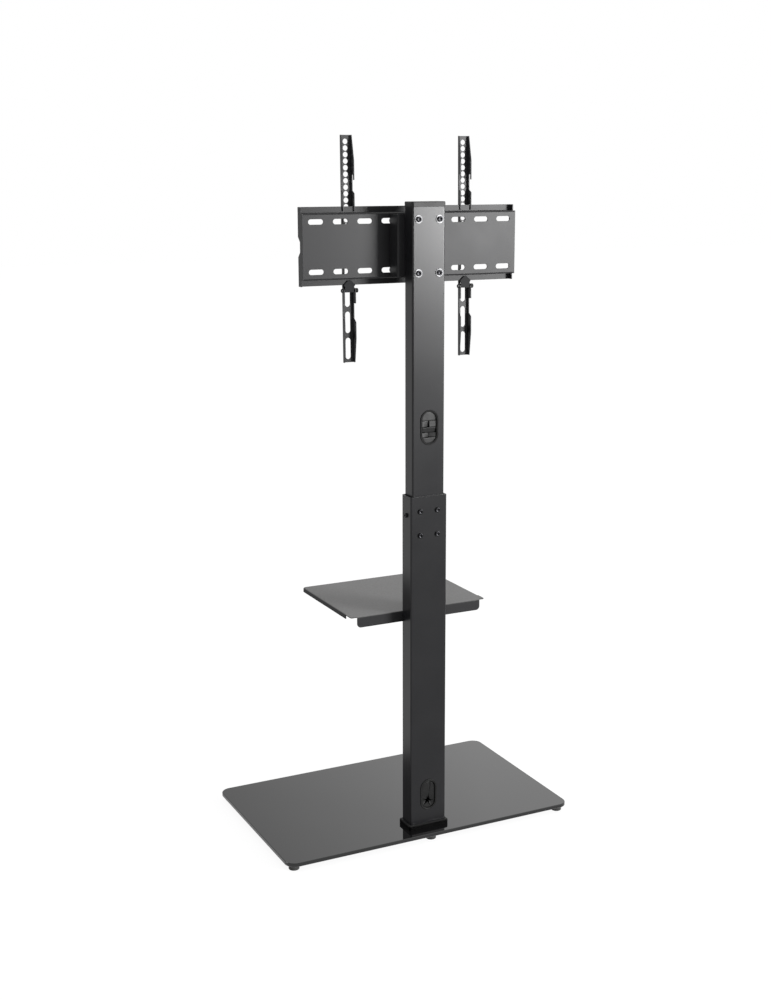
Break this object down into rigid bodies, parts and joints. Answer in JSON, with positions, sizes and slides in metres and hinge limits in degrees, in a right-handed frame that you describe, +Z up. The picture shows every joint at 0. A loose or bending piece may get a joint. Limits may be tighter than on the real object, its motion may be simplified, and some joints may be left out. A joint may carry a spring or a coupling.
{
  "type": "tv stand with mount",
  "caption": "Floor stand for a television: glass base on rubber feet, telescopic steel column with a shelf, and a slotted plate with hook-on arms and latches.",
  "frame": {"origin": "on the floor, at the centre of the base's footprint", "axes": "+Z up along the column, -Y towards the screen side, +Y towards the rear edge that the column stands near, +X to the left as seen from the rear"},
  "size_m": [0.65, 0.4, 1.4127],
  "materials": {
    "powder_coat": "satin black powder coat on steel",
    "black_glass": "opaque black tempered glass with polished edges",
    "black_plastic": "fine-textured black moulding",
    "rubber": "matt black rubber",
    "dark_steel": "black oxide",
    "zinc_steel": "bright zinc plate"
  },
  "bodies": {
    "stand": {"glass_base": "black_glass", "base_feet": "rubber", "backing_plate": "dark_steel", "base_seal": "rubber", "base_bolts": "zinc_steel", "column_foot": "powder_coat", "base_collar": "black_plastic", "lower_column": "powder_coat", "column_guides": "black_plastic", "height_screws": "dark_steel", "clamp_plate": "dark_steel", "side_screw": "dark_steel", "lower_cable_outlet": "black_plastic", "shelf": "powder_coat", "shelf_screws": "dark_steel", "shelf_rivet_nuts": "zinc_steel"},
    "mast": {"upper_column": "powder_coat", "slider_plug": "black_plastic", "end_cap": "black_plastic", "upper_cable_outlet": "black_plastic", "mount_bracket": "powder_coat", "mount_plate": "powder_coat", "column_bolts": "dark_steel", "bolt_washers": "zinc_steel", "column_nuts": "zinc_steel", "plate_screws": "dark_steel", "plate_nuts": "zinc_steel"},
    "left_arm": {"left_arm": "powder_coat", "left_lock_nut": "zinc_steel"},
    "left_latch": {"left_latch": "powder_coat"},
    "left_lock": {"left_lock_screw": "dark_steel"},
    "right_arm": {"right_arm": "powder_coat", "right_lock_nut": "zinc_steel"},
    "right_latch": {"right_latch": "powder_coat"},
    "right_lock": {"right_lock_screw": "dark_steel"}
  },
  "joints": [
    {"name": "column_height", "type": "slide", "parent": "stand", "child": "mast", "axis": [0, 0, 1], "range_m": [0, 0.097]},
    {"name": "left_arm_slide", "type": "slide", "parent": "mast", "child": "left_arm", "axis": [1, 0, 0], "range_m": [-0.0773, 0.0727]},
    {"name": "right_arm_slide", "type": "slide", "parent": "mast", "child": "right_arm", "axis": [-1, 0, 0], "range_m": [-0.0773, 0.0727]},
    {"name": "left_latch_turn", "type": "hinge", "parent": "left_arm", "child": "left_latch", "pos_m": [0.1273, 0.07605, 1.12159], "axis": [-1, 0, 0], "range_deg": [0, 90]},
    {"name": "right_latch_turn", "type": "hinge", "parent": "right_arm", "child": "right_latch", "pos_m": [-0.1273, 0.07605, 1.12159], "axis": [-1, 0, 0], "range_deg": [0, 90]},
    {"name": "left_lock_turn", "type": "hinge", "parent": "left_arm", "child": "left_lock", "pos_m": [0.1273, 0.07605, 1.12159], "axis": [-1, 0, 0], "range_deg": [0, 360]},
    {"name": "right_lock_turn", "type": "hinge", "parent": "right_arm", "child": "right_lock", "pos_m": [-0.1273, 0.07605, 1.12159], "axis": [-1, 0, 0], "range_deg": [0, 360]}
  ]
}
